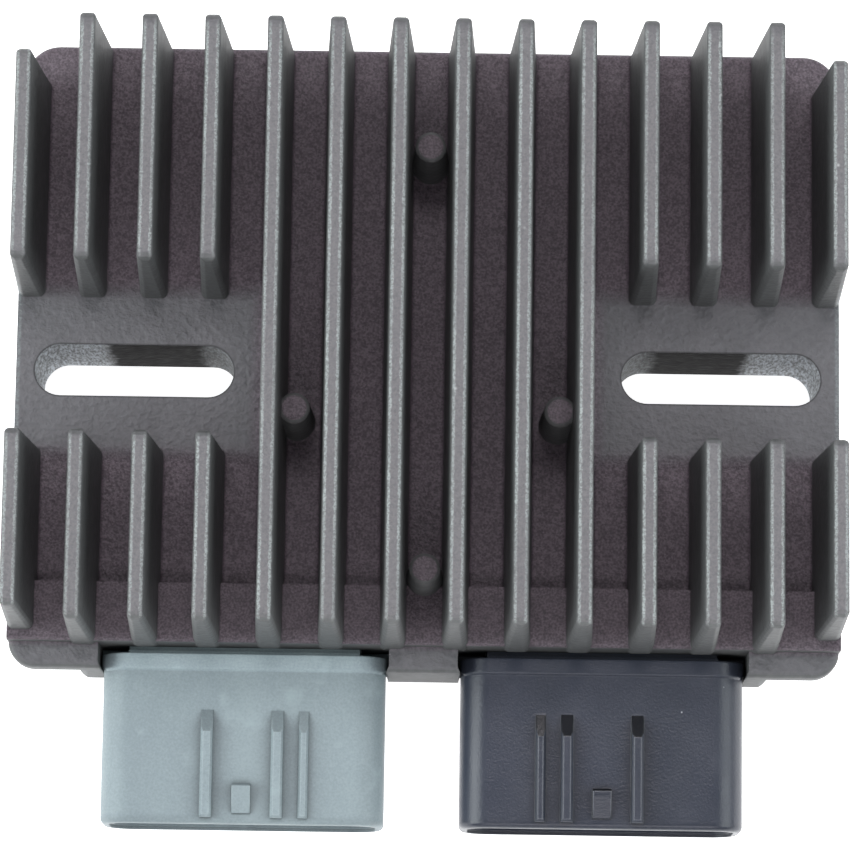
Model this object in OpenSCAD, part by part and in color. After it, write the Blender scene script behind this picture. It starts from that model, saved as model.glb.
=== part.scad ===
// Voltage regulator rectifier: a finned die-cast case with two slotted mounting pads,
// two sealed three-blade connectors and potted electronics in the back.
// Origin: midway between the two slots, on the back face. +Z points out through the fins
// and the connectors point to -Y.

/* [Base plate] */
// Width of the plate across the fins
plate_w = 107.5; // [106:0.1:112]
// From the slot line to the plate's far edge
plate_up = 43.7; // [42:0.1:48]
// From the slot line to the plate's edge over the connectors
plate_down = 39; // [38:0.1:42]
// Height of the floor between the fins over the back face
base_h = 15; // [14:0.1:18]
// Thickness of the plate where it overhangs the case
plate_t = 3.1; // [2.5:0.1:3.8]
// Radius of the plate's two far corners
far_corner_r = 4.6; // [3:0.1:7]
// Radius of the plate's two corners beside the connectors
near_corner_r = 3.4; // [2:0.1:5]
// Rounding of the plate's front edge
edge_r = 0.9; // [0.5:0.1:1.1]

/* [Fins] */
// Number of fins across the plate
fin_count = 14; // [14]
// Height of the fins over the floor
fin_h = 20.9; // [12:0.1:26]
// Thickness of a fin at its tip
fin_tip_t = 2; // [1.6:0.1:2.4]
// Draft of a fin's two faces, in degrees
fin_draft = 2.05; // [1:0.05:2.5]
// Draft of a fin's two ends, in degrees
fin_end_draft = 2.4; // [1:0.1:4]
// Rounding along a fin's tip
fin_tip_r = 0.55; // [0.2:0.05:0.7]
// Rounding of the tip at a fin's two ends
fin_end_r = 1.5; // [0.5:0.1:2]
// Rounding along the upright edges at a fin's two ends
fin_edge_r = 0.85; // [0.4:0.05:0.95]
// Fillet where a fin meets the floor
fin_foot_r = 0.5; // [0.3:0.1:0.9]
// How far the outermost fins stop short of the plate's far edge
outer_fin_up = 4.9; // [3:0.1:6]
// How far the outermost fins stop short of the other fins over the connectors
outer_fin_down = 1.5; // [0:0.1:3]
// How far the fins' ends stand out past the shelf's wall
fin_lip = 0.3; // [0.1:0.05:0.6]

/* [Mounting slots] */
// Distance from a slot's centre to the plate's side
slot_side = 15.45; // [15:0.05:17]
// Length of a slot, end to end
slot_l = 26; // [20:0.5:27]
// Width of a slot
slot_w = 6.8; // [5.5:0.1:8.5]
// Length of the bare pad from the slot line towards the far edge
pad_up = 9.65; // [8:0.05:11]
// Length of the bare pad from the slot line towards the connectors
pad_down = 10.25; // [8:0.05:11]
// Height of the pad over the floor
pad_rise = 0.3; // [0.2:0.1:0.8]
// Length of the slope between pad and floor
pad_slope = 1.8; // [0.5:0.1:2.5]
// Wall between a slot's inner end and the potting cavity
slot_wall = 3.8; // [3:0.1:5]

/* [Shelf over the connectors] */
// Rise of the shelf over the floor
shelf_rise = 2.2; // [1.5:0.1:3]
// Length of the shelf along the fins
shelf_l = 7.8; // [6:0.1:10]
// Depth of the open pocket that holds a connector's flange
pocket_d = 3.3; // [3.2:0.1:3.6]

/* [Case walls] */
// Side walls of the case behind the plate
wall = 3; // [2:0.1:3.6]
// Wall between the flange pockets and the potting cavity
end_wall = 2.5; // [2:0.1:3.5]
// Metal between the potting cavity and the floor
roof = 4; // [3.4:0.1:4.6]
// How far the case's far wall sits inside the plate's edge
case_inset = 1; // [0.5:0.1:2]
// How far the case's side walls sit inside the plate's sides
case_side = 7.75; // [6:0.05:9]
// Width of the block between the two flange pockets
mid_w = 8.9; // [6:0.1:12]
// From a flange pocket to the case's side
case_rim = 3.95; // [3.5:0.05:6]
// Radius of the case's upright corners
case_corner_r = 3; // [2:0.1:4]
// Radius of the corners inside the potting cavity
cavity_r = 2; // [1:0.1:3]
// Half the length of the solid lugs around the slots
lug_half = 11.5; // [11.1:0.1:12.4]
// Draft of the case's outer walls, in degrees
case_draft = 1.5; // [0.5:0.1:3]
// How far the potting resin lies below the back face
resin_recess = 0.6; // [0.3:0.1:0.9]

/* [Ejector bosses] */
// Height of a boss over the floor
boss_h = 11; // [6:0.5:14]
// Diameter of a boss at its top
boss_d = 4; // [3:0.1:4.4]
// Place of the boss near the far edge
boss_far_y = 28; // [20:0.5:32]
// Place of the boss near the connectors
boss_near_y = -27; // [-30:0.5:-20]
// Place of the two bosses that touch a fin
boss_side_y = -6.5; // [-12:0.5:6]

/* [Connectors] */
// Height of a connector's shell
shell_h = 12.4; // [11.8:0.1:13]
// Length of the shell in front of its flange
shell_l = 19.8; // [16:0.1:24]
// Corner radius of the shell
shell_r = 4; // [2.5:0.1:5]
// Thickness of the shell's wall
shell_wall = 1.5; // [1.2:0.1:1.6]
// Depth of the socket from its mouth
socket_d = 17; // [14:0.1:18]
// How far the flange stands proud of the shell all round
flange_proud = 0.25; // [0.2:0.05:0.5]
// Chamfer that the pocket's lips hold, on the flange's two sides
flange_bevel = 0.8; // [0.5:0.1:1]
// Rounding around the flange's front
flange_r = 0.35; // [0.2:0.05:0.5]
// Thickness of the flange
flange_t = 2.15; // [1.8:0.05:2.2]
// Gap between the flange and the shelf
flange_gap = 1.1; // [0.8:0.1:1.1]
// Gap between the flange's sides and the pocket
pocket_gap = 0.2; // [0.1:0.05:0.4]
// Height of the flange's lower edge over the back face
conn_lift = 0.55; // [0.2:0.05:0.8]
// Depth of the connector's neck under the shelf's underside
neck_drop = 2.6; // [1.2:0.1:3.5]
// Plastic beside the outer blades in the neck
neck_side = 1.85; // [1:0.05:2.5]
// Height of the two guide ribs and the latch
rib_h = 1.4; // [0.8:0.1:2]
// Height of the coding rib
code_rib_h = 0.9; // [0.5:0.1:1.4]
// Width of a guide rib
rib_w = 1.55; // [1.2:0.05:2]
// Distance of a guide rib from the connector's middle
rib_x = 4.55; // [4:0.05:5]
// Distance of the coding rib from the connector's middle
code_rib_x = 7.95; // [7.5:0.05:10]
// Width of the latch block between the guide ribs
latch_w = 2.4; // [1.5:0.1:3]
// Length of the latch block
latch_l = 3.8; // [2:0.1:5]

/* [Terminals] */
// Width of a terminal blade
blade_w = 6.3; // [4.8:0.1:6.5]
// Thickness of a terminal blade
blade_t = 0.8; // [0.6:0.05:1]
// Length of a blade in its socket
blade_reach = 10; // [7:0.5:13]

/* [Electronics] */
// Thickness of the circuit board
board_t = 1.6; // [1:0.1:2]
// Resin under the circuit board
board_cover = 0.8; // [0.6:0.1:1.2]
// Thickness of the insulating sheet under the power devices
sheet_t = 0.3; // [0.2:0.05:0.5]
// Room between a clamp screw and the power devices beside it
screw_gap = 0.3; // [0.2:0.05:0.6]
// Room between the outer power devices and the case's side walls
device_side = 3.25; // [2:0.05:5]
// Thickness of a power device's body
device_h = 4.4; // [3.8:0.1:4.6]
// Thickness of the clamp bar
bar_t = 1.2; // [1:0.1:1.5]
// Diameter of a clamp screw
screw_d = 3; // [2.5:0.1:3.2]
// Diameter of a filter capacitor
cap_d = 8; // [6:0.5:9]
// Resin over a filter capacitor
cap_cover = 1.8; // [1:0.1:3]

/* [Hidden] */

// Depth by which added metal sinks into what carries it
sink = 1.2;
// Overshoot of a cut past a face
over = 1;
// Play around the connector's neck in its window
fit_gap = 0.15;
// Facets on round forms
fine = 64;

// Fins
fin_sink = (roof - shelf_rise) * 0.9;
fin_base_t = fin_tip_t + 2 * fin_h * tan(fin_draft);
fin_pitch = (plate_w - fin_base_t) / (fin_count - 1);
boss_flare = 0.5;
boss_bevel = 0.4;
boss_side_x = 2.5 * fin_pitch - boss_d * 0.75;

// Levels along Y
shelf_edge_y = pocket_d - plate_down;
shelf_back_y = shelf_edge_y + shelf_l;
cavity_y0 = shelf_edge_y + end_wall;
case_y1 = plate_up - case_inset;
cavity_y1 = case_y1 - wall;
flange_y = shelf_edge_y - flange_gap;
mouth_y = flange_y - flange_t - shell_l;
socket_floor_y = mouth_y + socket_d;

// Levels along Z
ceiling_z = base_h - roof;
pocket_ceiling_z = ceiling_z + shelf_rise;
shelf_z = base_h + shelf_rise;
conn_z = conn_lift + flange_proud + shell_h / 2;
neck_top_z = pocket_ceiling_z - neck_drop;
board_z = resin_recess + board_cover;
board_top_z = board_z + board_t;
pin_end_z = board_z - board_cover / 2;
device_z1 = ceiling_z - sheet_t;
device_z0 = device_z1 - device_h;

// Widths
slot_x = plate_w / 2 - slot_side;
slot_inner_x = slot_x - slot_l / 2;
cavity_neck_half = slot_inner_x - slot_wall;
case_half = plate_w / 2 - case_side;
cavity_half = case_half - wall;
pocket_half = (case_half - case_rim - mid_w / 2) / 2;
conn_x = mid_w / 2 + pocket_half;
flange_w = 2 * (pocket_half - pocket_gap);
flange_h = shell_h + 2 * flange_proud;
shell_w = flange_w - 2 * flange_proud;
blade_gap = (shell_w - 2 * shell_wall - 3 * blade_w) / 4;
blade_pitch = blade_w + blade_gap;
neck_half = blade_pitch + blade_w / 2 + neck_side;

// Connector body inside the cavity, and the board's edge beside it
block_l = 3.6;
block_half = neck_half + 2;
block_gap = 0.3;
block_y1 = cavity_y0 + block_l;
board_gap = 1;
board_r = 1;
board_y0 = block_y1 + 0.6;
blade_leg_y = board_y0 + 3;

// Power devices along the far wall, with the clamp bar under their bodies
lug_room = lug_half + board_gap;
lip_l = 0.23 * (cavity_y1 - lug_room);
lead_y = lug_room + lip_l;
lead_run = 3.4;
lead_edge = 1.6;
device_y0 = lead_y + lead_run;
device_back = 2;
device_y1 = cavity_y1 - device_back;
tab_l = 0.41 * (device_y1 - device_y0);
tab_y = device_y1 - tab_l;
tab_t = 1.3;
tab_hole_d = 3.8;
device_gap = screw_d + 2 * screw_gap;
device_pitch = (2 * (cavity_half - device_side) + device_gap) / 6;
device_w = device_pitch - device_gap;
lead_w = 0.8;
lead_t = 0.5;
lead_pitch = device_w / 4;
lead_drop = 2.4;
board_y1 = lead_y + lead_edge;
bar_edge = 1.1;
bar_y0 = device_y0 + bar_edge;
bar_y1 = tab_y - bar_edge;
bar_y = (bar_y0 + bar_y1) / 2;
screw_head_d = 5.4;
screw_head_h = 1.8;
screw_skin = 1.2;
sheet_edge = 1;
device_x = [for (i = [0:5]) (i - 2.5) * device_pitch];
screw_x = [-2 * device_pitch, 0, 2 * device_pitch];

// Small parts on the board
chip_l = 10.3;
chip_w = 7.5;
chip_h = 2.3;
chip_lift = 0.2;
chip_y = -2;
chip_pin_pitch = 1.27;
cap_h = ceiling_z - cap_cover - board_top_z;
cap_foot = 0.8;
cap_edge = 0.2;
cap_x = cap_d * 1.5;
cap_y = -lug_room - cap_d / 2 - 1.5;
diode_l = 6.8;
diode_w = 5.8;
diode_h = 2.3;
resistor_l = 3.2;
resistor_w = 1.6;
resistor_h = 0.6;

// Extrudes an X-Z outline along Y
module along_y(y0, y1) {
    translate([0, y1, 0]) rotate([90, 0, 0]) linear_extrude(y1 - y0) children();
}

// Extrudes a Y-Z outline along X
module along_x(x0, x1) {
    translate([x0, 0, 0]) rotate([90, 0, 90]) linear_extrude(x1 - x0) children();
}

module box(x0, x1, y0, y1, z0, z1) {
    translate([x0, y0, z0]) cube([x1 - x0, y1 - y0, z1 - z0]);
}

module rounded_rect(x0, x1, y0, y1, r) {
    translate([x0 + r, y0]) square([x1 - x0 - 2 * r, y1 - y0]);
    translate([x0, y0 + r]) square([x1 - x0, y1 - y0 - 2 * r]);
    for (x = [x0 + r, x1 - r], y = [y0 + r, y1 - r])
        translate([x, y]) circle(r, $fn = fine);
}

// Half section of a slab whose top edge is rounded, out to the distance d from its middle
function edge_section(d, t, e) = concat(
    [[0, 0], [d, 0]],
    [for (a = [0:18:90]) [d - e + e * cos(a), t - e + e * sin(a)]],
    [[0, t]]
);

// The same section on both sides of the middle
function slab_section(d, t, e) = concat(
    [[-d, 0], [d, 0]],
    [for (a = [0:18:90]) [d - e + e * cos(a), t - e + e * sin(a)]],
    [for (a = [90:18:180]) [-d + e + e * cos(a), t - e + e * sin(a)]]
);

// Slab with its top edge rounded by e: corner radius r0 at its low-Y side and r1 at its high-Y side
module rounded_slab(w, y0, y1, t, r0, r1, e) {
    along_y(y0 + r0, y1 - r1) polygon(slab_section(w / 2, t, e));
    translate([0, y0 + r0 + over, 0]) rotate([0, 0, 180])
        along_x(-w / 2 + r0, w / 2 - r0) polygon(edge_section(r0 + over, t, e));
    translate([0, y1 - r1 - over, 0])
        along_x(-w / 2 + r1, w / 2 - r1) polygon(edge_section(r1 + over, t, e));
    for (x = [-1, 1]) {
        translate([x * (w / 2 - r0), y0 + r0, 0])
            rotate_extrude($fn = fine) polygon(edge_section(r0, t, e));
        translate([x * (w / 2 - r1), y1 - r1, 0])
            rotate_extrude($fn = fine) polygon(edge_section(r1, t, e));
    }
}

// Block that narrows towards the back face, as a casting does
module drafted_block(x0, x1, y0, y1, r, h) {
    inset = h * tan(case_draft);
    intersection() {
        linear_extrude(h) rounded_rect(x0, x1, y0, y1, r);
        along_y(y0 - over, y1 + over)
            polygon([[x0 + inset, 0], [x1 - inset, 0], [x1, h], [x0, h]]);
        along_x(x0 - over, x1 + over)
            polygon([[y0 + inset, 0], [y1 - inset, 0], [y1, h], [y0, h]]);
    }
}

// Plan of the potting cavity: wide at both ends, narrow between the lugs
module i_plan(half, y0, y1, neck, neck_y, r) {
    rounded_rect(-half, half, y0, -neck_y, r);
    rounded_rect(-half, half, neck_y, y1, r);
    translate([-neck, -neck_y - r]) square([2 * neck, 2 * (neck_y + r)]);
}

module plate_plan() {
    half = plate_w / 2;
    rounded_rect(-half, half, -plate_down, plate_up - far_corner_r, near_corner_r);
    rounded_rect(-half, half, near_corner_r - plate_down, plate_up, far_corner_r);
}

// Half thickness of a fin at height z over the floor
function fin_half(z) = fin_tip_t / 2 + (fin_h - z) * tan(fin_draft);

fin_side = concat(
    [[fin_half(0) + fin_foot_r, -fin_sink]],
    [for (a = [0:30:90]) let (z = fin_foot_r * (1 - cos(a))) [fin_half(z) + fin_foot_r * (1 - sin(a)), z]],
    [for (a = [0:22.5:90])
        [fin_half(fin_h - fin_tip_r) - fin_tip_r * (1 - cos(a)), fin_h - fin_tip_r * (1 - sin(a))]]
);
fin_section = concat(fin_side, [for (i = [len(fin_side) - 1:-1:0]) [-fin_side[i][0], fin_side[i][1]]]);

// Y-Z outline of a fin that stands on the floor from y0 to y1
function fin_outline(y0, y1) =
    let (lean = (fin_h - fin_end_r) * tan(fin_end_draft), z = fin_h - fin_end_r, r = fin_end_r)
    concat(
        [[y1, 0], [y1, -fin_sink], [y0, -fin_sink], [y0, 0]],
        [for (a = [180:-22.5:90]) [y0 + lean + r + r * cos(a), z + r * sin(a)]],
        [for (a = [90:-22.5:0]) [y1 - lean - r + r * cos(a), z + r * sin(a)]]
    );

// Upright outline of a fin with its two opposite corners cut, seen along the cut at angle a
function fin_corners(l, a) =
    let (r = fin_edge_r, top = fin_h + over,
         lean = cos(a) * tan(fin_draft) + sin(a) * tan(fin_end_draft),
         reach = cos(a) * (fin_half(0) - r) + sin(a) * (l / 2 - r) + r)
    [[-reach, -fin_sink], [reach, -fin_sink], [reach, 0],
     [reach - lean * top, top], [lean * top - reach, top], [-reach, 0]];

module fin(x, y0, y1) {
    l = y1 - y0;
    translate([x, 0, base_h]) intersection() {
        along_y(y0 - over, y1 + over) polygon(fin_section);
        along_x(-fin_base_t, fin_base_t) polygon(fin_outline(y0, y1));
        translate([0, (y0 + y1) / 2, 0]) intersection_for(a = [-60, -30, 30, 60])
            rotate([0, 0, a]) along_y(-l, l) polygon(fin_corners(l, abs(a)));
    }
}

// A fin runs the whole length of the plate, or stops at both sides of a slot pad
module fin_row() {
    for (i = [0:fin_count - 1]) {
        x = (i - (fin_count - 1) / 2) * fin_pitch;
        outer = i == 0 || i == fin_count - 1;
        y0 = shelf_edge_y - fin_lip + (outer ? outer_fin_down : 0);
        y1 = plate_up - (outer ? outer_fin_up : 0);
        if (abs(x) > slot_inner_x - fin_pitch / 2) {
            fin(x, y0, -pad_down);
            fin(x, pad_up, y1);
        } else {
            fin(x, y0, y1);
        }
    }
}

module ejector_boss(x, y) {
    translate([x, y, base_h - sink])
        cylinder(h = sink + boss_h - boss_bevel, d1 = boss_d + 2 * boss_flare, d2 = boss_d, $fn = fine);
    translate([x, y, base_h + boss_h - boss_bevel])
        cylinder(h = boss_bevel, d1 = boss_d, d2 = boss_d - 2 * boss_bevel, $fn = fine);
}

module slot_plan() {
    run = (slot_l - slot_w) / 2;
    square([2 * run, slot_w], center = true);
    for (x = [-run, run]) translate([x, 0]) circle(d = slot_w, $fn = fine);
}

// Bare pads between the split fins, with a slope at each end
module slot_pads() {
    along_x(-plate_w / 2, plate_w / 2)
        polygon([[-pad_down - pad_slope, base_h - sink], [-pad_down - pad_slope, base_h],
                 [-pad_down, base_h + pad_rise], [pad_up, base_h + pad_rise],
                 [pad_up + pad_slope, base_h], [pad_up + pad_slope, base_h - sink]]);
}

// Raised shelf that gives the connectors room below it
module shelf() {
    slope = 0.15;
    bevel = 0.3;
    along_x(-plate_w / 2, plate_w / 2)
        polygon([[shelf_edge_y, base_h - sink], [shelf_edge_y, shelf_z - bevel],
                 [shelf_edge_y + bevel, shelf_z], [shelf_back_y - slope, shelf_z],
                 [shelf_back_y, base_h], [shelf_back_y, base_h - sink]]);
}

// The case without its fins
module casting() {
    translate([0, 0, base_h - plate_t])
        rounded_slab(plate_w, -plate_down, plate_up, plate_t, near_corner_r, far_corner_r, edge_r);
    drafted_block(-case_half, case_half, -plate_down, case_y1, case_corner_r, base_h - plate_t / 2);
    drafted_block(-plate_w / 2, plate_w / 2, -lug_half, lug_half, cavity_r, base_h - plate_t / 2);
    intersection() {
        union() {
            shelf();
            difference() {
                slot_pads();
                box(-cavity_neck_half, cavity_neck_half, -2 * pad_down, 2 * pad_up, 0, 2 * base_h);
            }
        }
        translate([0, 0, ceiling_z]) linear_extrude(base_h) plate_plan();
    }
    ejector_boss(0, boss_far_y);
    ejector_boss(0, boss_near_y);
    for (s = [-1, 1]) ejector_boss(s * boss_side_x, boss_side_y);
}

// Open pocket for a connector's flange, closing in on the flange's bevel
module flange_pocket() {
    play = pocket_gap / 2;
    lip = flange_proud + play;
    bevel_y = flange_y - flange_t + flange_bevel - play;
    translate([0, 0, -over]) linear_extrude(base_h + 2 * over)
        polygon([[-pocket_half, shelf_edge_y], [-pocket_half, bevel_y],
                 [-pocket_half + lip, -plate_down], [-pocket_half + lip, -plate_down - over],
                 [pocket_half - lip, -plate_down - over], [pocket_half - lip, -plate_down],
                 [pocket_half, bevel_y], [pocket_half, shelf_edge_y]]);
}

module cavity(z0) {
    translate([0, 0, z0]) linear_extrude(ceiling_z - z0)
        i_plan(cavity_half, cavity_y0, cavity_y1, cavity_neck_half, lug_half, cavity_r);
    box(-cavity_half + cavity_r, cavity_half - cavity_r, cavity_y0, block_y1 + block_gap, z0,
        pocket_ceiling_z);
}

module housing() {
    color("#565257") difference() {
        union() {
            difference() {
                casting();
                for (s = [-1, 1]) translate([s * conn_x, 0, 0]) flange_pocket();
            }
            intersection() {
                fin_row();
                translate([0, 0, ceiling_z]) linear_extrude(2 * fin_h) plate_plan();
            }
        }
        cavity(-over);
        for (s = [-1, 1]) {
            translate([s * slot_x, 0, -over]) linear_extrude(base_h + fin_h) slot_plan();
            translate([s * conn_x, 0, 0])
                box(-neck_half - fit_gap, neck_half + fit_gap, shelf_edge_y - over, cavity_y0 + over,
                    -over, neck_top_z + fit_gap);
        }
        for (x = screw_x) translate([x, bar_y, ceiling_z - over])
            cylinder(h = over + roof - screw_skin, d = screw_d, $fn = fine);
    }
}

// One terminal blade: a tapered tip in the socket and a leg through the board
module blade_shape(x) {
    tip_y = socket_floor_y - blade_reach;
    taper = 1.2;
    half = blade_w / 2;
    translate([x, 0, conn_z - blade_t / 2]) linear_extrude(blade_t)
        polygon([[-half, blade_leg_y], [-half, tip_y + taper], [-half + taper, tip_y],
                 [half - taper, tip_y], [half, tip_y + taper], [half, blade_leg_y]]);
    box(x - half, x + half, blade_leg_y - blade_t, blade_leg_y, pin_end_z, conn_z);
}

// A rib on the connector's front face, bevelled on top, with a slope at its flange end
module guide_rib(x, w, h) {
    front_z = conn_z + shell_h / 2;
    start_y = flange_y - flange_t - 5;
    end_y = mouth_y + 0.8;
    slope = 3;
    bevel = 0.3;
    intersection() {
        along_x(x - w / 2, x + w / 2)
            polygon([[start_y, front_z - 1], [start_y, front_z], [start_y - slope, front_z + h],
                     [end_y + bevel, front_z + h], [end_y, front_z + h - bevel], [end_y, front_z - 1]]);
        along_y(mouth_y, flange_y) translate([x, front_z])
            polygon([[-w / 2, -1], [w / 2, -1], [w / 2, h - bevel], [w / 2 - bevel, h],
                     [bevel - w / 2, h], [-w / 2, h - bevel]]);
    }
}

// The block that the plug's latch climbs and snaps over
module latch_block() {
    front_z = conn_z + shell_h / 2;
    near_y = mouth_y + 1.35;
    far_y = near_y + latch_l;
    bevel = 0.3;
    h = (rib_h + code_rib_h) / 2;
    along_x(-latch_w / 2, latch_w / 2)
        polygon([[near_y, front_z - 1], [near_y, front_z + h / 3], [far_y - 3 * bevel, front_z + h],
                 [far_y - bevel, front_z + h], [far_y, front_z + h - bevel], [far_y, front_z - 1]]);
}

// Rounded slab that stands on the plane y and points to -Y
module slab_to_mouth(w, h, y, t, r, e) {
    translate([0, y, conn_z]) rotate([90, 0, 0]) rounded_slab(w, -h / 2, h / 2, t, r, r, e);
}

// Flange whose two sides are chamfered where the pocket's lips hold them
module flange() {
    half = flange_w / 2;
    front_y = flange_y - flange_t;
    intersection() {
        slab_to_mouth(flange_w, flange_h, flange_y, flange_t, shell_r + flange_proud, flange_r);
        linear_extrude(2 * flange_h)
            polygon([[-half, flange_y], [-half, front_y + flange_bevel], [flange_bevel - half, front_y],
                     [half - flange_bevel, front_y], [half, front_y + flange_bevel], [half, flange_y]]);
    }
}

// Step behind the flange and press ribs at its sides, which steady the connector in its pocket
module flange_seat() {
    seat_gap = 0.1;
    rib_gap = 0.02;
    rib_y0 = flange_y - flange_t + flange_bevel;
    box(rib_gap - pocket_half, pocket_half - rib_gap, flange_y - over, shelf_edge_y - seat_gap,
        resin_recess, conn_z);
    box(rib_gap - pocket_half, pocket_half - rib_gap, rib_y0, flange_y, conn_z / 2, conn_z);
}

// The connector on the left, built about its own middle
module connector() {
    lead_in = 0.4;
    tongue_t = 0.5;
    inner_r = shell_r - shell_wall;
    half_w = shell_w / 2 - shell_wall;
    half_h = shell_h / 2 - shell_wall;
    difference() {
        union() {
            flange();
            flange_seat();
            slab_to_mouth(shell_w, shell_h, flange_y, flange_t + shell_l, shell_r, shell_wall / 2);
            box(-neck_half, neck_half, flange_y - over, cavity_y0 + over, resin_recess, neck_top_z);
            box(-neck_half, neck_half, flange_y - over, flange_y + tongue_t, resin_recess, conn_z + shell_h / 2 - 1);
            box(-block_half, block_half, cavity_y0, block_y1, resin_recess, pocket_ceiling_z - block_gap);
            guide_rib(-rib_x, rib_w, rib_h);
            guide_rib(rib_x, rib_w, rib_h);
            guide_rib(code_rib_x, rib_w - 0.3, code_rib_h);
            latch_block();
        }
        translate([0, socket_floor_y, conn_z]) rotate([90, 0, 0]) linear_extrude(socket_d + over)
            rounded_rect(-half_w, half_w, -half_h, half_h, inner_r);
        translate([0, mouth_y + lead_in, conn_z]) rotate([90, 0, 0]) linear_extrude(lead_in + over)
            rounded_rect(-half_w - lead_in, half_w + lead_in, -half_h - lead_in, half_h + lead_in,
                         inner_r + lead_in);
        for (i = [-1:1]) blade_shape(i * blade_pitch);
    }
}

module grey_connector() {
    color("#9aaab0") translate([-conn_x, 0, 0]) connector();
}

module black_connector() {
    color("#40464f") mirror([1, 0, 0]) translate([-conn_x, 0, 0]) connector();
}

module blade(s, i) {
    color("#c9cbc8") translate([s * conn_x, 0, 0]) blade_shape((i - 2) * blade_pitch);
}

module insulating_sheet() {
    half = device_x[5] + device_w / 2 + sheet_edge;
    color("#b9c4cc") difference() {
        box(-half, half, device_y0 - sheet_edge, device_y1 + sheet_edge, device_z1, ceiling_z);
        for (x = screw_x) translate([x, bar_y, device_z1 - over])
            cylinder(h = sheet_t + 2 * over, d = screw_d, $fn = fine);
    }
}

// Moulded body, metal tab and three bent leads
module power_device(i) {
    lead_z = device_z1 - lead_drop;
    color("#3a3d40") translate([device_x[i], 0, 0]) difference() {
        union() {
            box(-device_w / 2, device_w / 2, device_y0, tab_y, device_z0, device_z1);
            box(-device_w / 2, device_w / 2, tab_y - over, device_y1, device_z1 - tab_t, device_z1);
            for (x = [-lead_pitch, 0, lead_pitch]) {
                box(x - lead_w / 2, x + lead_w / 2, lead_y, device_y0 + over, lead_z - lead_t, lead_z);
                box(x - lead_w / 2, x + lead_w / 2, lead_y, lead_y + lead_t, pin_end_z, lead_z);
            }
        }
        translate([0, (tab_y + device_y1) / 2, device_z1 - tab_t - over])
            cylinder(h = tab_t + 2 * over, d = tab_hole_d, $fn = fine);
    }
}

module clamp_bar() {
    half = device_x[5] + device_w / 2;
    color("#8f9396") difference() {
        box(-half, half, bar_y0, bar_y1, device_z0 - bar_t, device_z0);
        for (x = screw_x) translate([x, bar_y, device_z0 - bar_t - over])
            cylinder(h = bar_t + 2 * over, d = screw_d, $fn = fine);
    }
}

module clamp_screws() {
    head_z = device_z0 - bar_t - screw_head_h;
    bevel = 0.5;
    root = 0.2;
    color("#a8abad") for (x = screw_x) translate([x, bar_y, 0]) {
        translate([0, 0, head_z])
            cylinder(h = bevel, d1 = screw_head_d - 2 * bevel, d2 = screw_head_d, $fn = fine);
        translate([0, 0, head_z + bevel])
            cylinder(h = screw_head_h - bevel, d = screw_head_d, $fn = fine);
        translate([0, 0, device_z0 - bar_t - root])
            cylinder(h = base_h - screw_skin - device_z0 + bar_t + root, d = screw_d, $fn = fine);
    }
}

module board_plan() {
    i_plan(cavity_half - board_gap, board_y0, board_y1, cavity_neck_half - board_gap, lug_room, board_r);
}

module circuit_board() {
    color("#2f5d3a") difference() {
        translate([0, 0, board_z]) linear_extrude(board_t) board_plan();
        for (s = [-1, 1], i = [-1:1]) translate([s * conn_x + i * blade_pitch, 0, 0])
            box(-blade_w / 2, blade_w / 2, blade_leg_y - blade_t, blade_leg_y, board_z - over, board_top_z + over);
        for (d = device_x, x = [-lead_pitch, 0, lead_pitch]) translate([d + x, 0, 0])
            box(-lead_w / 2, lead_w / 2, lead_y, lead_y + lead_t, board_z - over, board_top_z + over);
    }
}

// Small-outline package with a row of formed leads on each side
module control_chip() {
    color("#2b2d30") translate([0, chip_y, board_top_z]) {
        box(-chip_l / 2, chip_l / 2, -chip_w / 2, chip_w / 2, chip_lift, chip_lift + chip_h);
        for (i = [-3.5:1:3.5], s = [-1, 1]) scale([1, s, 1])
            along_x(i * chip_pin_pitch - 0.2, i * chip_pin_pitch + 0.2)
                polygon([[chip_w / 2 - 0.2, 1.1], [chip_w / 2 + 0.5, 1.1], [chip_w / 2 + 0.5, 0.25],
                         [chip_w / 2 + 1.3, 0.25], [chip_w / 2 + 1.3, 0], [chip_w / 2 + 0.25, 0],
                         [chip_w / 2 + 0.25, 0.85], [chip_w / 2 - 0.2, 0.85]]);
    }
}

module filter_capacitor(x) {
    half = cap_d / 2 + cap_edge;
    cut = cap_d * 0.175;
    color("#9a9da3") translate([x, cap_y, board_top_z]) {
        linear_extrude(cap_foot)
            polygon([[-half, -half], [half - cut, -half], [half, -half + cut],
                     [half, half - cut], [half - cut, half], [-half, half]]);
        translate([0, 0, cap_foot]) cylinder(h = cap_h - cap_foot, d = cap_d, $fn = fine);
    }
}

module surge_diode() {
    clip = 0.6;
    color("#2b2d30") translate([0, cap_y, board_top_z]) {
        box(-diode_l / 2, diode_l / 2, -diode_w / 2, diode_w / 2, chip_lift, chip_lift + diode_h);
        for (s = [-1, 1])
            box(s * diode_l / 2 - clip, s * diode_l / 2 + clip, -diode_w / 4, diode_w / 4, 0, diode_h / 2);
    }
}

module gate_resistors() {
    color("#26282b") for (x = device_x)
        translate([x, (lug_room + lead_y) / 2, board_top_z])
            box(-resistor_l / 2, resistor_l / 2, -resistor_w / 2, resistor_w / 2, 0, resistor_h);
}

// Everything that the resin flows around
module potted_parts() {
    translate([-conn_x, 0, 0]) connector();
    mirror([1, 0, 0]) translate([-conn_x, 0, 0]) connector();
    for (s = [-1, 1], i = [1:3]) blade(s, i);
    insulating_sheet();
    for (i = [0:5]) power_device(i);
    clamp_bar();
    clamp_screws();
    circuit_board();
    control_chip();
    filter_capacitor(-cap_x);
    filter_capacitor(cap_x);
    surge_diode();
    gate_resistors();
}

module potting_resin() {
    color("#1f2123") difference() {
        cavity(resin_recess);
        potted_parts();
    }
}

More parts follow.
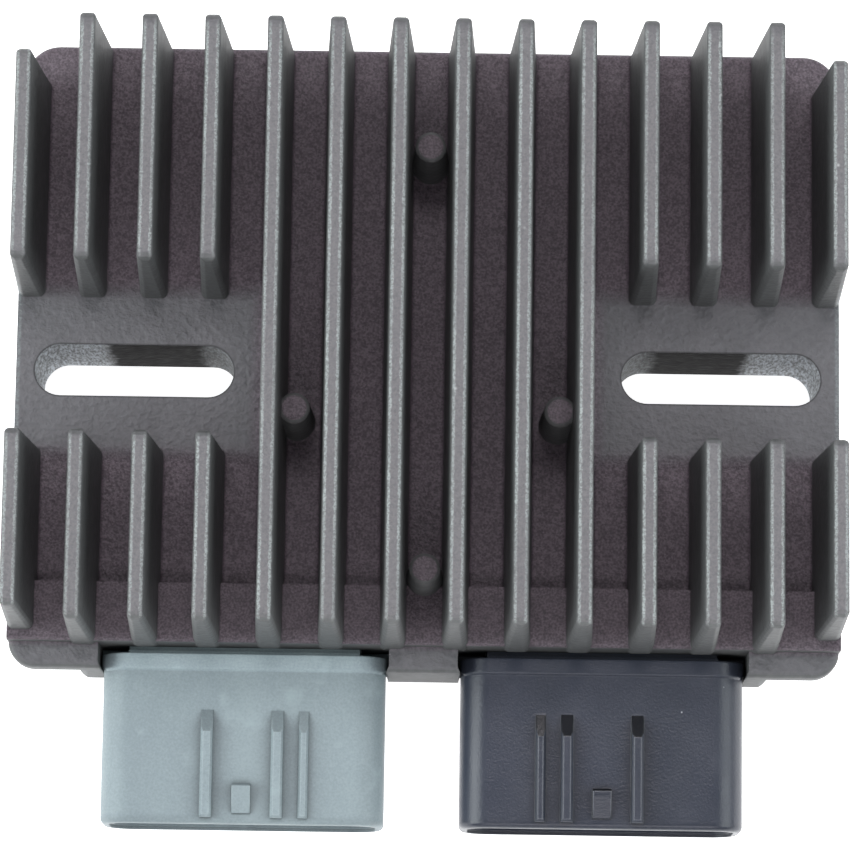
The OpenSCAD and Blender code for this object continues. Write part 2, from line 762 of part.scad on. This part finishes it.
housing();
grey_connector();
black_connector();
blade(-1, 1);  // grey_blade_1
blade(-1, 2);  // grey_blade_2
blade(-1, 3);  // grey_blade_3
blade(1, 1);  // black_blade_1
blade(1, 2);  // black_blade_2
blade(1, 3);  // black_blade_3
insulating_sheet();
power_device(0);  // power_device_1
power_device(1);  // power_device_2
power_device(2);  // power_device_3
power_device(3);  // power_device_4
power_device(4);  // power_device_5
power_device(5);  // power_device_6
clamp_bar();
clamp_screws();
circuit_board();
control_chip();
filter_capacitor(-cap_x);  // filter_capacitor_1
filter_capacitor(cap_x);  // filter_capacitor_2
surge_diode();
gate_resistors();
potting_resin();
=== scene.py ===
import bpy
from mathutils import Euler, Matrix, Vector

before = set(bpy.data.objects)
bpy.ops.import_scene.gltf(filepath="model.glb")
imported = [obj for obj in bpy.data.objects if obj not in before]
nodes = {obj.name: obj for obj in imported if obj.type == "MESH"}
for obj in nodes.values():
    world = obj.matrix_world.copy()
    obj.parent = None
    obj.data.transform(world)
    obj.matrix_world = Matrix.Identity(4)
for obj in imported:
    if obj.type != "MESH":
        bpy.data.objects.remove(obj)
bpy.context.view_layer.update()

MM = 0.001

# Places on the casting
PLATE_TOP_Z = 15.0 * MM
TIP_Z = 35.9 * MM
BOSS_TOP_Z = PLATE_TOP_Z + 11.0 * MM
FIN_PITCH = 8.0003 * MM
HIGHLIGHT_LINE_X = 0.66 * MM
SPLIT_FINS_X = 22.5 * MM
FIN_FAR_Y = 42.2 * MM
PAD_MIDDLE_Y = -0.3 * MM
PAD_HALF_L = 10.9 * MM
PLATE_RIM_X = 53.1 * MM
SHELF_BACK_Y = -28.0 * MM
SHELF_EDGE_Y = -36.4 * MM
SLOT_X = 38.3 * MM
SLOT_HALF_W = 3.45 * MM
SLOT_HALF_L = 13.05 * MM
SLOT_STRAIGHT_HALF_L = 9.6 * MM
SLOT_RIM_R = 3.48 * MM
SLOT_LIT_BEYOND_X = 41.2 * MM
SLOT_LIT_WITHIN_X = 30.4 * MM

# Places on the connectors
CONNECTOR_X = 23.25 * MM
ABOVE_SHELL_Z = 13.25 * MM
RIB_TOPS_Z = 13.7 * MM
FLANGE_FRONT_Y = -39.0 * MM
SHELL_BACK_Y = -40.0 * MM
LATCH_BACK_Y = -50.0 * MM
LATCH_HALF_W = 1.4 * MM
MOUTH_BAND_Y = -57.3 * MM

# The floor, with a strip under the gaps behind the flanges that gives no light
FLOOR_SIZE = 6.0
FLOOR_Z = -0.2 * MM
DARK_STRIP_Y = -34.0 * MM
DARK_STRIP_HALF_L = 4.0 * MM
DARK_STRIP_HALF_W = 43.0 * MM

# Colours of the casting, the coats as a darker and a lighter one; the channel and side coats are darker
# copies of the open coat, painted shade
OPEN_COAT = ((0.109, 0.107, 0.115), (0.115, 0.113, 0.122))
CHANNEL_SHADE_COAT = ((0.099, 0.078, 0.095), (0.119, 0.096, 0.114))
SIDE_SHADE_COAT = ((0.084, 0.087, 0.088), (0.094, 0.097, 0.098))
TIP_COAT = (0.165, 0.158, 0.163)
# Painted highlights along the fins' tip edges and along the plate's rounded rim
EDGE_HIGHLIGHT = (0.34, 0.375, 0.37)
PLATE_RIM_HIGHLIGHT = (0.2, 0.225, 0.23)
# Slot walls: painted shade between the ends, bare speckled metal painted lit at the ends
SLOT_SHADE = (0.01, 0.009, 0.01)
SLOT_LIT_METAL = (0.57, 0.61, 0.66)
SLOT_RIM = (0.02, 0.02, 0.022)
NICK = (0.75, 0.77, 0.77)

GREY_PLASTIC = {
    "dark": (0.19, 0.236, 0.256), "light": (0.242, 0.298, 0.315), "rough": 0.5,
    "specks": 0.3, "speck_colour": (0.2, 0.22, 0.23), "scuff": 0.35, "rib_edge_highlight": (0.34, 0.4, 0.42),
    "flange_painted_light": 1.3, "slope_painted_shade": 0.75, "latch_gain": 0.94,
}
BLACK_PLASTIC = {
    "dark": (0.02, 0.025, 0.038), "light": (0.029, 0.034, 0.051), "rough": 0.33,
    "specks": 0.9, "speck_colour": (0.55, 0.57, 0.6), "scuff": 0.25, "rib_edge_highlight": (0.2, 0.21, 0.235),
    "flange_painted_light": 1.0, "slope_painted_shade": 0.2, "latch_gain": 0.75,
}


class Tree:
    """Builds one material's node tree."""

    def __init__(self, name):
        self.mat = bpy.data.materials.new(name)
        self.mat.use_nodes = True
        self.t = self.mat.node_tree
        self.t.nodes.clear()
        out = self.t.nodes.new("ShaderNodeOutputMaterial")
        self.bsdf = self.t.nodes.new("ShaderNodeBsdfPrincipled")
        self.t.links.new(self.bsdf.outputs[0], out.inputs["Surface"])
        self.pos = self.t.nodes.new("ShaderNodeTexCoord").outputs["Object"]
        self.true_normal = self.t.nodes.new("ShaderNodeNewGeometry").outputs["True Normal"]

    def link(self, value, socket):
        if isinstance(value, bpy.types.NodeSocket):
            self.t.links.new(value, socket)
        else:
            socket.default_value = value

    def set(self, **values):
        """Sets or links the shader's sockets by name, with _ for a space."""
        for name, v in values.items():
            if isinstance(v, tuple) and len(v) == 3:
                v = (*v, 1.0)
            self.link(v, self.bsdf.inputs[name.replace("_", " ")])

    # Numbers

    def math(self, op, a, b=None, c=None):
        n = self.t.nodes.new("ShaderNodeMath")
        n.operation = op
        for i, v in enumerate((a, b, c)):
            if v is not None:
                self.link(v, n.inputs[i])
        return n.outputs[0]

    def product(self, first, *others):
        for factor in others:
            first = self.math("MULTIPLY", first, factor)
        return first

    def weighted(self, a, a_share, b, b_share):
        return self.math("ADD", self.product(a, a_share), self.product(b, b_share))

    def away(self, value, middle):
        """Distance of a value from a middle."""
        return self.math("ABSOLUTE", self.math("SUBTRACT", value, middle))

    def below(self, value, limit):
        return self.math("LESS_THAN", value, limit)

    def above(self, value, limit):
        return self.math("GREATER_THAN", value, limit)

    def remap(self, value, a, b, lo=0.0, hi=1.0, smooth=False):
        """Takes a..b to lo..hi, clamped."""
        n = self.t.nodes.new("ShaderNodeMapRange")
        n.interpolation_type = "SMOOTHSTEP" if smooth else "LINEAR"
        for name, v in (("Value", value), ("From Min", a), ("From Max", b), ("To Min", lo), ("To Max", hi)):
            self.link(v, n.inputs[name])
        return n.outputs[0]

    def gain(self, mask, inside):
        """1 outside the mask and the given factor inside it."""
        return self.remap(mask, 0.0, 1.0, 1.0, inside)

    def blend(self, fac, a, b):
        n = self.t.nodes.new("ShaderNodeMix")
        n.data_type = "FLOAT"
        for v, socket in ((fac, n.inputs[0]), (a, n.inputs[2]), (b, n.inputs[3])):
            self.link(v, socket)
        return n.outputs[0]

    # Vectors and colours

    def split(self, vector):
        n = self.t.nodes.new("ShaderNodeSeparateXYZ")
        self.link(vector, n.inputs[0])
        return n.outputs[0], n.outputs[1], n.outputs[2]

    def vector(self, op, a):
        n = self.t.nodes.new("ShaderNodeVectorMath")
        n.operation = op
        self.link(a, n.inputs[0])
        return n

    def stretched(self, factors):
        n = self.vector("MULTIPLY", self.pos)
        n.inputs[1].default_value = factors
        return n.outputs[0]

    def brighter(self, colour, factor):
        n = self.vector("SCALE", colour)
        self.link(factor, n.inputs["Scale"])
        return n.outputs[0]

    def dot(self, a, b):
        n = self.vector("DOT_PRODUCT", a)
        self.link(b, n.inputs[1])
        return n.outputs["Value"]

    def mix(self, fac, a, b):
        n = self.t.nodes.new("ShaderNodeMix")
        n.data_type = "RGBA"
        self.link(fac, n.inputs[0])
        for v, socket in ((a, n.inputs[6]), (b, n.inputs[7])):
            self.link(v if isinstance(v, bpy.types.NodeSocket) else (*v, 1.0), socket)
        return n.outputs[2]

    # Textures and surface detail

    def noise(self, scale, detail=2.0, rough=0.5, vector=None):
        n = self.t.nodes.new("ShaderNodeTexNoise")
        self.link(vector or self.pos, n.inputs["Vector"])
        n.inputs["Scale"].default_value = scale
        n.inputs["Detail"].default_value = detail
        n.inputs["Roughness"].default_value = rough
        return n.outputs["Fac"]

    def cells(self, scale):
        n = self.t.nodes.new("ShaderNodeTexVoronoi")
        self.link(self.pos, n.inputs["Vector"])
        n.inputs["Scale"].default_value = scale
        return n.outputs["Distance"]

    def bump(self, height, strength, distance, normal=None):
        n = self.t.nodes.new("ShaderNodeBump")
        self.link(strength, n.inputs["Strength"])
        n.inputs["Distance"].default_value = distance
        self.link(height, n.inputs["Height"])
        if normal is not None:
            self.link(normal, n.inputs["Normal"])
        return n.outputs[0]

    def soft_edges(self, radius, samples=4):
        n = self.t.nodes.new("ShaderNodeBevel")
        n.samples = samples
        n.inputs["Radius"].default_value = radius
        return n.outputs[0]

    def shelter(self, distance):
        """1 in the open, less beside a rib or in a corner."""
        n = self.t.nodes.new("ShaderNodeAmbientOcclusion")
        n.samples = 8
        n.inputs["Distance"].default_value = distance
        return n.outputs["AO"]


# Masks of the fins' tips: the whole tip, the painted highlight lines along its two edges, and the tips'
# height
def tip_masks(m, x, y, z, nz):
    high = m.remap(z, TIP_Z - 1.0 * MM, TIP_Z - 0.3 * MM, smooth=True)

    # The lighter tip and the painted highlight lines fade towards the fins' far ends and towards the ends
    # beside the pads, painted shade on those ends
    pad_end = m.remap(m.away(y, PAD_MIDDLE_Y), PAD_HALF_L, PAD_HALF_L + 1.9 * MM, 0.1, 1.0, smooth=True)
    whole_fin = m.below(m.math("ABSOLUTE", x), SPLIT_FINS_X)
    end_shade_fade = m.product(m.remap(y, FIN_FAR_Y - 2.0 * MM, FIN_FAR_Y, 1.0, 0.1, smooth=True),
                         m.math("MAXIMUM", pad_end, whole_fin))

    # Two wavy painted highlight lines, one on each side of every fin's middle
    from_middle = m.away(m.math("WRAP", x, FIN_PITCH, 0.0), FIN_PITCH / 2)
    wobble = m.product(m.math("SUBTRACT", m.noise(1900, 1.0), 0.5), 0.35 * MM)
    off_line = m.math("ABSOLUTE", m.math("ADD", m.math("SUBTRACT", from_middle, HIGHLIGHT_LINE_X), wobble))
    line = m.product(m.remap(off_line, 0.1 * MM, 0.26 * MM, 1.0, 0.0, smooth=True), high, end_shade_fade)
    patchy = m.remap(m.noise(60), 0.35, 0.6, 0.55, 1.0)
    speckled = m.remap(m.noise(4200, 1.0), 0.4, 0.58, 0.3, 1.0)
    edge_highlight = m.product(line, patchy, speckled)

    tip = m.product(m.remap(z, TIP_Z - 1.4 * MM, TIP_Z - 0.2 * MM), m.remap(nz, 0.55, 0.9), end_shade_fade)
    return tip, edge_highlight, high


# Masks of the slots: bare speckled metal painted lit at the walls' ends, painted shade on the walls between
# them, and a thin dark rim
def slot_masks(m, ax, ay, y, z, nz):
    along_slot = m.away(ax, SLOT_X)
    wall = m.product(m.below(ay, SLOT_HALF_W), m.below(along_slot, SLOT_HALF_L),
                     m.below(m.math("ABSOLUTE", nz), 0.4))
    speckle = m.remap(m.noise(2900, 2.0, 0.6, m.stretched((1.0, 1.0, 0.25))), 0.38, 0.64, 0.12, 1.0)
    ragged = m.math("ADD", ax, m.product(m.math("SUBTRACT", m.noise(500), 0.5), 2.0 * MM))
    outer_end = m.remap(ragged, SLOT_LIT_BEYOND_X, SLOT_LIT_BEYOND_X + 2.0 * MM, smooth=True)
    inner_end = m.remap(ragged, SLOT_LIT_WITHIN_X, SLOT_LIT_WITHIN_X - 2.2 * MM, 0.0, 0.3, smooth=True)
    ends = m.math("MAXIMUM", outer_end, inner_end)
    # Bare metal painted lit at the ends, painted shade on the walls between them
    lit_bare = m.product(wall, speckle, ends)
    dark = m.product(wall, m.remap(ends, 0.0, 0.6, 1.0, 0.0))

    past_straight = m.math("MAXIMUM", m.math("SUBTRACT", along_slot, SLOT_STRAIGHT_HALF_L), 0.0)
    from_axis = m.math("SQRT", m.math("ADD", m.product(past_straight, past_straight), m.product(y, y)))
    rim = m.product(m.remap(m.away(from_axis, SLOT_RIM_R), 0.05 * MM, 0.16 * MM, 1.0, 0.0),
                    m.above(z, PLATE_TOP_Z))
    return lit_bare, dark, rim


# Masks of the flat faces: channel floors and boss tops in painted mauve shade, those tops alone, the shelf,
# the plate's rim with its painted highlight
def face_masks(m, ax, ay, y, z, nz, flat):
    near_plate = m.product(m.remap(z, PLATE_TOP_Z + 4.0 * MM, PLATE_TOP_Z + 2.6 * MM),
                           m.remap(z, PLATE_TOP_Z - 1.5 * MM, PLATE_TOP_Z - 0.5 * MM))
    off_pad = m.math("MAXIMUM", m.remap(ay, PAD_HALF_L - 1.9 * MM, PAD_HALF_L + 1.6 * MM, smooth=True),
                     m.remap(ax, SPLIT_FINS_X + 1.0 * MM, SPLIT_FINS_X - 1.0 * MM))
    channel = m.product(near_plate, off_pad, m.remap(nz, 0.2, 0.7),
                        m.remap(y, SHELF_EDGE_Y, SHELF_EDGE_Y + 0.8 * MM))
    boss = m.product(m.below(m.away(z, BOSS_TOP_Z), 1.2 * MM), flat)
    channel = m.math("MAXIMUM", channel, boss)
    shelf = m.product(m.remap(z, PLATE_TOP_Z + 1.0 * MM, PLATE_TOP_Z + 1.8 * MM),
                      m.remap(y, SHELF_BACK_Y, SHELF_BACK_Y - 2.0 * MM), channel)
    # The plate's rim: a painted highlight on its rounded edge beside the pads
    rim = m.product(m.remap(ax, PLATE_RIM_X, PLATE_RIM_X + 0.25 * MM), m.below(ay, PAD_HALF_L + 0.6 * MM),
                    m.remap(z, PLATE_TOP_Z - 1.0 * MM, PLATE_TOP_Z - 0.5 * MM))
    return channel, boss, shelf, rim


# Dark coated die casting: leathery grain, painted mauve shade in the channels, painted highlights on the
# fin edges, slot metal painted lit and shaded
def casting_material():
    m = Tree("coated_casting")
    x, y, z = m.split(m.pos)
    nz = m.split(m.true_normal)[2]
    ax, ay = m.math("ABSOLUTE", x), m.math("ABSOLUTE", y)

    # Grain from coarse to fine
    patch = m.noise(95)
    coarse = m.noise(620)
    grain = m.noise(1250, 1.0, 0.45)
    fine = m.noise(3500, 1.0)
    leather = m.weighted(grain, 0.7, fine, 0.3)
    sandy = m.weighted(grain, 0.2, fine, 0.8)

    flat = m.remap(nz, 0.75, 0.97, smooth=True)
    tip, edge_highlight, high = tip_masks(m, x, y, z, nz)
    slot_lit_bare, slot_painted_shade, slot_rim = slot_masks(m, ax, ay, y, z, nz)
    channel, boss, shelf, plate_rim_highlight = face_masks(m, ax, ay, y, z, nz, flat)

    # The coat: sandy in the channels, smoother elsewhere, darker on the shelf and the boss tops; channels
    # and side faces get darker copies of the coat as painted shade
    shade = m.blend(channel, m.remap(leather, 0.34, 0.66, 0.9, 1.1), m.remap(sandy, 0.36, 0.64, 0.62, 1.38))
    shade = m.product(shade, m.gain(shelf, 0.86), m.gain(boss, 0.8), m.remap(patch, 0.3, 0.7, 0.96, 1.04))
    mottle = m.remap(coarse, 0.3, 0.7)
    open_coat, channel_shade_coat, side_shade_coat = (
        m.mix(mottle, *coat) for coat in (OPEN_COAT, CHANNEL_SHADE_COAT, SIDE_SHADE_COAT))
    colour = m.brighter(m.mix(channel, m.mix(flat, side_shade_coat, open_coat), channel_shade_coat), shade)

    # Lighter tips, painted highlight lines and rim, painted shade and lit bare metal in the slots, and a
    # dark slot rim over the coat
    colour = m.mix(m.product(tip, m.remap(fine, 0.35, 0.65, 0.25, 0.7)), colour, TIP_COAT)
    colour = m.mix(m.product(edge_highlight, 0.75), colour, EDGE_HIGHLIGHT)
    colour = m.mix(m.product(plate_rim_highlight, m.remap(fine, 0.4, 0.6, 0.2, 0.75)), colour, PLATE_RIM_HIGHLIGHT)
    colour = m.mix(slot_painted_shade, colour, SLOT_SHADE)
    colour = m.mix(slot_lit_bare, colour, SLOT_LIT_METAL)
    colour = m.mix(m.product(slot_rim, 0.6), colour, SLOT_RIM)

    # A few bright nicks along the tips
    nick = m.product(m.remap(m.cells(310), 0.0, 0.11, 1.0, 0.0, smooth=True),
                     m.remap(m.noise(140, 1.0), 0.6, 0.66), high)
    colour = m.mix(nick, colour, NICK)

    relief = m.weighted(leather, 0.85, coarse, 0.15)
    m.set(Base_Color=colour,
          Roughness=m.math("ADD", m.remap(coarse, 0.3, 0.7, 0.5, 0.6), m.product(edge_highlight, -0.12)),
          Metallic=m.product(m.math("MAXIMUM", edge_highlight, slot_lit_bare), 0.35),
          Specular_IOR_Level=m.remap(slot_painted_shade, 0.0, 1.0, 0.45, 0.03),
          Normal=m.bump(relief, m.remap(flat, 0.0, 1.0, 0.4, 1.0), 0.34 * MM, m.soft_edges(0.3 * MM)))
    return m.mat


# Moulded plastic with a fine satin texture, faint flow marks, a few dust specks and painted highlights on
# the rib edges
def plastic_material(name, look):
    m = Tree(name)
    x, y, z = m.split(m.pos)
    _, ny, nz = m.split(m.true_normal)
    grain = m.noise(3200, 2.0, 0.6)
    flow = m.noise(70, 3.0, 0.55, m.stretched((1.0, 0.35, 1.0)))
    cloud = m.noise(210, 3.0, 0.6)
    colour = m.mix(m.remap(m.weighted(flow, 0.6, grain, 0.4), 0.4, 0.6), look["dark"], look["light"])
    speck = m.product(m.remap(m.cells(420), 0.0, 0.065, 1.0, 0.0), m.remap(m.noise(160), 0.54, 0.6))
    colour = m.mix(m.product(speck, look["specks"]), colour, look["speck_colour"])
    scuff = m.product(m.remap(cloud, 0.55, 0.75, smooth=True), look["scuff"])
    colour = m.mix(scuff, colour, tuple(c * 1.35 + 0.01 for c in look["light"]))

    # Painted highlight along the edges of the ribs' tops, found where the softened normal turns away from
    # the true one
    soft = m.soft_edges(0.3 * MM, 6)
    rib_edge_highlight = m.product(m.remap(m.dot(soft, m.true_normal), 0.995, 0.93), m.above(nz, 0.9),
                         m.remap(z, RIB_TOPS_Z, RIB_TOPS_Z + 0.2 * MM))
    colour = m.mix(m.product(rib_edge_highlight, 0.8), colour, look["rib_edge_highlight"])
    mouth_band = m.remap(y, MOUTH_BAND_Y, MOUTH_BAND_Y - 0.9 * MM, 0.0, 0.12, smooth=True)
    colour = m.mix(mouth_band, colour, (0.0, 0.0, 0.0))

    # Painted light on the flange, painted shade on the slopes at the ribs' back ends, tone of the latch
    # block, and painted shade by the ribs
    raised = m.above(z, ABOVE_SHELL_Z)
    slope = m.product(m.above(ny, 0.2), raised, m.below(y, SHELL_BACK_Y))
    latch = m.product(m.below(m.away(m.math("ABSOLUTE", x), CONNECTOR_X), LATCH_HALF_W), raised,
                      m.below(y, LATCH_BACK_Y))
    on_shell = m.remap(y, SHELL_BACK_Y, SHELL_BACK_Y - 1.0 * MM)
    beside_ribs = m.blend(on_shell, 1.0, m.remap(m.shelter(3.0 * MM), 0.5, 0.97, 0.62, 1.0))
    flange = m.remap(y, FLANGE_FRONT_Y - 0.1 * MM, FLANGE_FRONT_Y + 0.1 * MM, 1.0, look["flange_painted_light"])
    colour = m.brighter(colour, m.product(flange, m.gain(slope, look["slope_painted_shade"]),
                                          m.gain(latch, look["latch_gain"]), beside_ribs))

    rough = m.remap(cloud, 0.3, 0.7, look["rough"] - 0.05, look["rough"] + 0.06)
    m.set(Base_Color=colour, Roughness=m.math("ADD", rough, m.product(scuff, 0.1)),
          Normal=m.bump(grain, 0.5, 0.07 * MM, soft))
    return m.mat


# Metal with a fine grain and slight tarnish
def metal_material(name, bright, dull, rough, stretch):
    m = Tree(name)
    brushed = m.noise(900, 3.0, 0.6, m.stretched(stretch))
    blotch = m.noise(300, 3.0, 0.6)
    m.set(Base_Color=m.mix(m.remap(blotch, 0.35, 0.7, smooth=True), bright, dull), Metallic=1.0,
          Roughness=m.remap(brushed, 0.3, 0.7, rough - 0.07, rough + 0.09),
          Normal=m.bump(brushed, 0.25, 0.03 * MM, m.soft_edges(0.1 * MM)))
    return m.mat


# Moulding compound, board and sheet share one grainy make-up
def grainy_material(name, dark, light, rough, scale, depth):
    m = Tree(name)
    fine = m.noise(scale, 3.0, 0.6)
    blotch = m.noise(scale / 9, 3.0, 0.55)
    m.set(Base_Color=m.mix(m.remap(blotch, 0.3, 0.7, smooth=True), dark, light),
          Roughness=m.remap(blotch, 0.3, 0.7, rough - 0.06, rough + 0.08),
          Normal=m.bump(fine, 0.3, depth, m.soft_edges(0.12 * MM)))
    return m.mat


# Poured resin: glossy and slightly wavy, with a few small bubbles
def resin_material():
    m = Tree("potting_resin")
    wave = m.noise(45)
    pits = m.product(m.remap(m.cells(260), 0.0, 0.09, 1.0, 0.0, smooth=True),
                     m.remap(m.noise(90), 0.58, 0.64))
    dust = m.noise(1400, 3.0, 0.6)
    m.set(Base_Color=m.mix(m.remap(dust, 0.4, 0.75), (0.014, 0.0145, 0.016), (0.03, 0.03, 0.032)),
          Roughness=m.remap(m.noise(130), 0.3, 0.7, 0.16, 0.3),
          Normal=m.bump(m.math("SUBTRACT", wave, m.product(pits, 0.35)), 0.35, 0.6 * MM))
    return m.mat


# Pale floor that glows, apart from the strip that would shine up through the gaps behind the flanges
def floor_material():
    m = Tree("pale_floor")
    x, y, _ = m.split(m.pos)
    strip = m.product(m.below(m.math("ABSOLUTE", x), DARK_STRIP_HALF_W),
                      m.below(m.away(y, DARK_STRIP_Y), DARK_STRIP_HALF_L))
    m.set(Base_Color=m.mix(m.noise(14), (0.86, 0.86, 0.86), (0.89, 0.89, 0.89)), Roughness=0.7,
          Emission_Color=(1.0, 1.0, 1.0), Emission_Strength=m.remap(strip, 0.0, 1.0, 0.94, 0.0))
    return m.mat


tin = metal_material("tinned_brass", (0.72, 0.71, 0.68), (0.6, 0.58, 0.53), 0.28, (1.0, 0.15, 1.0))
steel = metal_material("zinc_plated_steel", (0.6, 0.61, 0.62), (0.48, 0.49, 0.5), 0.35, (0.2, 1.0, 1.0))
can = metal_material("drawn_can", (0.66, 0.67, 0.69), (0.58, 0.59, 0.6), 0.3, (1.0, 1.0, 0.2))
compound = grainy_material("moulding_compound", (0.016, 0.016, 0.018), (0.03, 0.03, 0.033), 0.55, 2600,
                           0.04 * MM)
board = grainy_material("solder_mask", (0.01, 0.075, 0.03), (0.016, 0.1, 0.04), 0.35, 1800, 0.03 * MM)
pad_sheet = grainy_material("insulating_pad", (0.3, 0.36, 0.4), (0.36, 0.42, 0.46), 0.6, 2200, 0.03 * MM)

materials = {
    "housing": casting_material(),
    "grey_connector": plastic_material("grey_plastic", GREY_PLASTIC),
    "black_connector": plastic_material("black_plastic", BLACK_PLASTIC),
    "insulating_sheet": pad_sheet, "circuit_board": board, "potting_resin": resin_material(),
    "clamp_bar": steel, "clamp_screws": steel,
    "filter_capacitor_1": can, "filter_capacitor_2": can,
    "control_chip": compound, "surge_diode": compound, "gate_resistors": compound,
}
for i in range(1, 4):
    materials["grey_blade_%d" % i] = materials["black_blade_%d" % i] = tin
for i in range(1, 7):
    materials["power_device_%d" % i] = compound
for name, obj in nodes.items():
    obj.data.materials.clear()
    obj.data.materials.append(materials[name])

# Floor just under the back face
bpy.ops.mesh.primitive_plane_add(size=FLOOR_SIZE, location=(0, 0, FLOOR_Z))
floor = bpy.context.object
floor.name = "floor"
floor.data.materials.append(floor_material())


# Soft studio light: a panel's name, place, size, aim, power and colour
def panel(name, place, size, aim, power, colour):
    data = bpy.data.lights.new(name, "AREA")
    data.shape = "RECTANGLE"
    data.size, data.size_y = size
    data.energy = power
    data.color = colour
    obj = bpy.data.objects.new(name, data)
    obj.location = place
    obj.rotation_mode = "QUATERNION"
    obj.rotation_quaternion = (Vector(aim) - Vector(place)).to_track_quat("-Z", "Y")
    bpy.context.scene.collection.objects.link(obj)


panel("overhead", (0.0, 0.46, 1.06), (0.7, 0.34), (0, 0, 0), 5.9, (1.0, 0.955, 0.985))
panel("front", (0.0, -0.72, 0.9), (0.7, 0.4), (0, 0, 0), 3.9, (1.0, 0.96, 0.99))
panel("left", (-0.88, -0.1, 0.54), (0.8, 0.8), (0, 0, 0.02), 9.8, (0.94, 1.0, 1.0))
panel("right", (0.85, -0.1, 0.6), (0.8, 0.8), (0, 0, 0.02), 6.2, (0.94, 1.0, 1.0))

world = bpy.data.worlds.new("studio")
world.use_nodes = True
background = world.node_tree.nodes["Background"]
background.inputs["Color"].default_value = (0.93, 0.97, 1.0, 1.0)
background.inputs["Strength"].default_value = 0.25
bpy.context.scene.world = world
bpy.context.scene.view_settings.view_transform = "Standard"

# Camera solved from the photograph
camera = bpy.data.cameras.new("camera")
camera.sensor_width = 36.0
camera.lens = 179.35
camera.shift_x, camera.shift_y = -0.0009, 0.0004
camera.clip_start, camera.clip_end = 0.01, 50.0
eye = bpy.data.objects.new("camera", camera)
bpy.context.scene.collection.objects.link(eye)
eye.location = (-0.00006, -0.10072, 0.55908)
eye.rotation_mode = "ZYX"
eye.rotation_euler = Euler((0.17122, 0.000145, 0.01466), "ZYX")
bpy.context.scene.camera = eye
